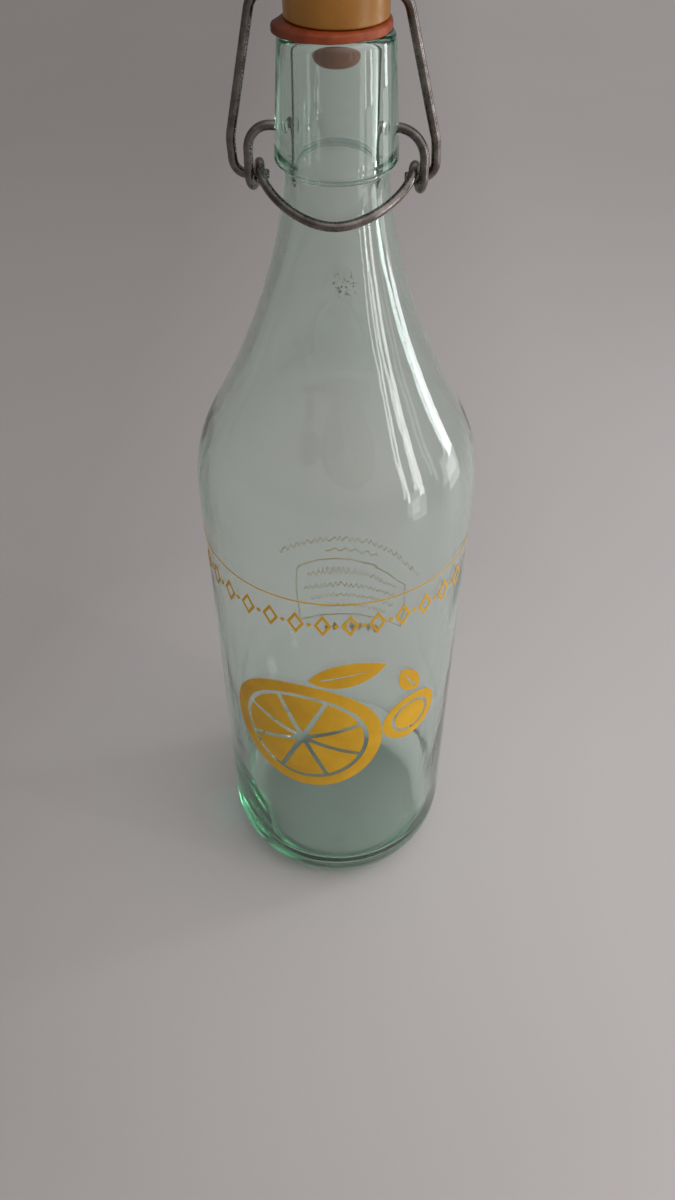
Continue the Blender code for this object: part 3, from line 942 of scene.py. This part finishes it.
def rubber_material():
    """Orange rubber with fine dirt, and shade painted darker on its left side."""
    dark = (0.24, 0.034, 0.008)
    light = (0.37, 0.074, 0.014)
    dirty = (0.16, 0.028, 0.010)
    # Painted shade: the left side of the ring is darker, as it faces away from the light.
    painted_left_shade = (0.060, 0.018, 0.010)
    graph = Graph("orange_rubber_used")
    graph.set(Roughness=0.52, IOR=1.45)
    place = graph.place()
    cloudy = graph.noise(place, 210.0, 4.0, 0.6)
    fine = graph.noise(place, 1300.0, 4.0, 0.6)
    colour = graph.blend(graph.ranged(cloudy, 0.35, 0.68, 0, 1), dark, light)
    colour = graph.blend(graph.ranged(fine, 0.60, 0.74, 0, 0.5), colour, dirty)
    # Painted shade, darkest at the far left.
    left = graph.ranged(graph.parts(place)["X"], -0.0135, -0.0050, 0.75, 0)
    graph.drive("Base Color", graph.blend(left, colour, painted_left_shade))
    graph.drive("Normal", graph.bump(fine, 0.00008, 0.8))
    return graph.material


def enamel_material():
    """Golden enamel, rubbed pale in small places."""
    dark = (0.66, 0.345, 0.004)
    light = (0.76, 0.42, 0.008)
    pale = (0.50, 0.36, 0.12)
    graph = Graph("golden_enamel")
    graph.set(Roughness=0.5, IOR=1.45)
    place = graph.place()
    cloudy = graph.noise(place, 95.0, 3.0, 0.5)
    worn = graph.noise(place, 700.0, 5.0, 0.7)
    colour = graph.blend(graph.ranged(cloudy, 0.35, 0.65, 0, 1), dark, light)
    graph.drive("Base Color", graph.blend(graph.ranged(worn, 0.66, 0.76, 0, 0.55), colour, pale))
    graph.drive("Roughness", graph.ranged(worn, 0.3, 0.8, 0.42, 0.62))
    return graph.material


def floor_material():
    """A board with light and shade painted on: painted falloff makes it darker behind and to the left, a
    painted pool of light makes it paler near the bottle, and painted green light from the glass lies beside
    it.
    """
    # Painted shade: the board is darker to the left and further back, as the window light falls off.
    left_painted_shade_colours = ((0.395, 0.368, 0.362), (0.285, 0.262, 0.256))
    right_painted_light_colours = ((0.530, 0.500, 0.494), (0.445, 0.418, 0.410))
    mottled = (0.36, 0.33, 0.325)
    # Painted light: a pale patch round the bottle that lightens its shadow on the board.
    pale = (0.60, 0.57, 0.565)
    # Painted light: the green light that the glass throws onto the board left of its foot.
    painted_caustic_green = (0.52, 0.64, 0.585)
    # Middles of the painted pale patch and of the painted green light.
    painted_light_middle = (-0.01, 0.01, 0)
    painted_caustic_middle = (-0.043, -0.008, 0)
    graph = Graph("pale_board")
    graph.set(Roughness=0.5)
    place = graph.place()
    parts = graph.parts(place)
    broad = graph.noise(place, 5.0, 3.0, 0.5)
    fine = graph.noise(place, 900.0, 3.0, 0.6)
    # Painted falloff of the light: darker further back and further left.
    far = graph.ranged(parts["Y"], -0.05, 0.75, 0, 1)
    side = graph.ranged(parts["X"], -0.16, 0.12, 0, 1)
    left = graph.blend(far, *left_painted_shade_colours)
    right = graph.blend(far, *right_painted_light_colours)
    colour = graph.blend(side, left, right)
    colour = graph.blend(graph.ranged(broad, 0.3, 0.7, 0, 0.12), colour, mottled)
    # Painted light, paler towards the bottle, laid over the bottle's shadow.
    painted_light_near = graph.ranged(graph.distance(place, painted_light_middle), 0.03, 0.17, 0.55, 0)
    colour = graph.blend(painted_light_near, colour, pale)
    # Painted green light from the glass, strongest at its middle.
    painted_caustic_share = graph.ranged(graph.distance(place, painted_caustic_middle), 0.004, 0.016, 0.40, 0)
    graph.drive("Base Color", graph.blend(painted_caustic_share, colour, painted_caustic_green))
    graph.drive("Normal", graph.bump(fine, 0.0001, 0.4))
    return graph.material


# The object

glass = glass_bottle(glass_material())
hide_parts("glass_bottle")
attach(glass, "bottle")

steel = wire_material()
lever = lever_wire(steel)
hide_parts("lever_wire")
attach(lever, "lever")
bail = bail_wire(steel)
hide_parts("bail_wire")
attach(bail, "bail")

head = stopper(plastic_material())
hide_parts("stopper")
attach(head, "stopper_body")
ring = gasket(rubber_material())
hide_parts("gasket")
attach(ring, "stopper_body")

enamel = enamel_material()
front_print = printed("enamel_front", front_shapes(), 0.0, enamel)
back_print = printed("enamel_back", back_shapes(), 175.0, enamel)
for piece in (front_print, back_print):
    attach(piece, "bottle")

# Floor, lights and camera

FLOOR_HALF_WIDTH = 3.0
FLOOR_DROP = 0.0002
floor_mesh = bmesh.new()
bmesh.ops.create_grid(floor_mesh, x_segments=1, y_segments=1, size=FLOOR_HALF_WIDTH)
floor = dressed(finished("floor", floor_mesh), floor_material())
floor.location.z = -FLOOR_DROP
floor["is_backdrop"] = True

WINDOW_DISTANCE = 0.60
WINDOW_SILL = 0.150
WINDOW_HEAD = 0.46
PANEL_BRIGHTNESS = 6.0


def tall_window(name, azimuth_deg, width, foot, head, brightness, colour):
    """A narrow upright light facing the bottle. Its brightness is in watts per square metre."""
    azimuth = math.radians(azimuth_deg)
    middle = (foot + head) / 2
    target = Vector((0, 0, middle))
    place = Vector((WINDOW_DISTANCE * math.sin(azimuth), -WINDOW_DISTANCE * math.cos(azimuth), middle))
    data = bpy.data.lights.new(name, "AREA")
    data.shape = "RECTANGLE"
    data.size = width
    data.size_y = head - foot
    data.energy = brightness * width * (head - foot)
    data.color = colour
    light = bpy.data.objects.new(name, data)
    light.location = place
    light.rotation_euler = (target - place).to_track_quat("-Z", "Y").to_euler()
    light.visible_camera = False
    bpy.context.scene.collection.objects.link(light)
    return light


# A window of four panes, and two low panels under it
for name, azimuth_deg, width, brightness, colour in (
        ("far_pane", 108, 0.085, 25.0, (0.93, 0.98, 1.0)),
        ("middle_pane", 85, 0.028, 5.0, (0.97, 0.99, 1.0)),
        ("near_pane", 70, 0.046, 28.0, (1.0, 0.97, 0.96)),
        ("front_pane", 58, 0.022, 24.0, (1.0, 0.97, 0.95))):
    tall_window(name, azimuth_deg, width, WINDOW_SILL, WINDOW_HEAD, brightness, colour)
for name, azimuth_deg, width, colour in (
        ("far_panel", 105, 0.16, (1.0, 1.0, 1.0)),
        ("near_panel", 66, 0.13, (1.0, 0.98, 0.97))):
    tall_window(name, azimuth_deg, width, 0.0, WINDOW_SILL, PANEL_BRIGHTNESS, colour)


def room(base, amount, towards, sharpness):
    """The light of a room: brightest up and to the right, nearly dark low down on the left."""
    world = bpy.data.worlds.new("room")
    world.use_nodes = True
    nodes = world.node_tree.nodes
    links = world.node_tree.links
    background = nodes["Background"]
    place = nodes.new("ShaderNodeTexCoord")
    along = nodes.new("ShaderNodeVectorMath")
    along.operation = "DOT_PRODUCT"
    along.inputs[1].default_value = Vector(towards).normalized()
    links.new(place.outputs["Generated"], along.inputs[0])
    strength = along.outputs["Value"]
    to_share = [("MULTIPLY", 0.5), ("ADD", 0.5)]
    to_strength = [("POWER", sharpness), ("MULTIPLY", amount), ("ADD", base)]
    for operation, value in to_share + to_strength:
        step = nodes.new("ShaderNodeMath")
        step.operation = operation
        step.inputs[1].default_value = value
        links.new(strength, step.inputs[0])
        strength = step.outputs["Value"]
    links.new(strength, background.inputs["Strength"])
    background.inputs["Color"].default_value = (1.0, 0.985, 0.98, 1)
    return world


scene = bpy.context.scene
scene.world = room(base=0.17, amount=1.48, towards=(0.55, -0.2, 0.8), sharpness=6)

# Camera: in front of the bottle, a little to the right of the middle, looking down on it
FOCAL_PIXELS = 970
IMAGE_HEIGHT = 1200
SENSOR_MM = 36.0
CAMERA_PLACE = Vector((0.00023, -0.2387, 0.3654))
CAMERA_AZIMUTH = math.radians(3.0)
CAMERA_DOWN_DEG = 45.4
CAMERA_NEAR = 0.01
camera_data = bpy.data.cameras.new("camera")
camera_data.sensor_fit = "VERTICAL"
camera_data.sensor_height = SENSOR_MM
camera_data.lens = FOCAL_PIXELS / IMAGE_HEIGHT * SENSOR_MM
camera_data.clip_start = CAMERA_NEAR
camera = bpy.data.objects.new("camera", camera_data)
camera.location = Matrix.Rotation(CAMERA_AZIMUTH, 3, "Z") @ CAMERA_PLACE
camera.rotation_euler = (math.radians(90 - CAMERA_DOWN_DEG), 0, CAMERA_AZIMUTH)
scene.collection.objects.link(camera)
scene.camera = camera
scene.view_settings.view_transform = "Standard"

# Light bounces: it crosses the thick foot of the glass many times
GLASS_BOUNCES = 24
GLOSSY_BOUNCES = 12
scene.cycles.max_bounces = GLASS_BOUNCES
scene.cycles.transmission_bounces = GLASS_BOUNCES
scene.cycles.glossy_bounces = GLOSSY_BOUNCES


def plain(value):
    """Vectors and tuples as lists of numbers."""
    if hasattr(value, "__len__"):
        return [plain(part) for part in value]
    return float(value)


{"cad": plain(CAD_BOX), "visual": plain(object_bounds())}
